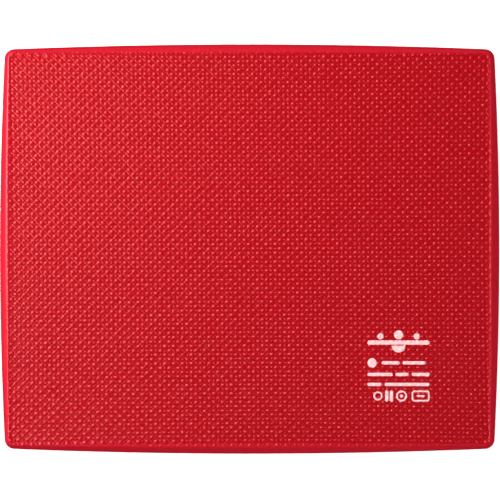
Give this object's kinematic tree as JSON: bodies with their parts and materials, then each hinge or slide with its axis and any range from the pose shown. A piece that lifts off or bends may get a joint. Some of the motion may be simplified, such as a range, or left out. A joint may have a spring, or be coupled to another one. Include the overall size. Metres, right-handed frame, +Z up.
{
  "type": "balance pad",
  "caption": "Rectangular slab of soft closed-cell foam with bulging smooth sides and bead-embossed faces, to stand on for balance exercises.",
  "frame": {"origin": "centre of the underside, on the surface that the pad lies on", "axes": "+Z up through the thickness, +X along the long side, +Y along the short side away from the edge nearest the printed block"},
  "size_m": [0.5, 0.41, 0.06],
  "materials": {
    "foam_skin": "satin integral skin, bead-embossed on both faces and smooth on the sides",
    "foam_core": "matt closed-cell foam",
    "print_ink": "thin satin white ink, a little broken up by the embossing"
  },
  "bodies": {
    "root": {"foam_core": "foam_core", "top_skin": "foam_skin", "bottom_skin": "foam_skin", "side_skin": "foam_skin", "print_emblem_ball": "print_ink", "print_emblem_dome": "print_ink", "print_emblem_left_ball": "print_ink", "print_emblem_plank": "print_ink", "print_emblem_right_ball": "print_ink", "print_icon_left_sole": "print_ink", "print_icon_pad_bar": "print_ink", "print_icon_pad_frame": "print_ink", "print_icon_right_sole": "print_ink", "print_icon_ring": "print_ink", "print_icon_target_dot": "print_ink", "print_icon_target_ring": "print_ink", "print_row1_badge": "print_ink", "print_row1_dash1": "print_ink", "print_row1_dash2": "print_ink", "print_row2_dash1": "print_ink", "print_row2_dash2": "print_ink", "print_row2_dash3": "print_ink", "print_row3_dash1": "print_ink", "print_row3_dash2": "print_ink"}
  },
  "joints": []
}
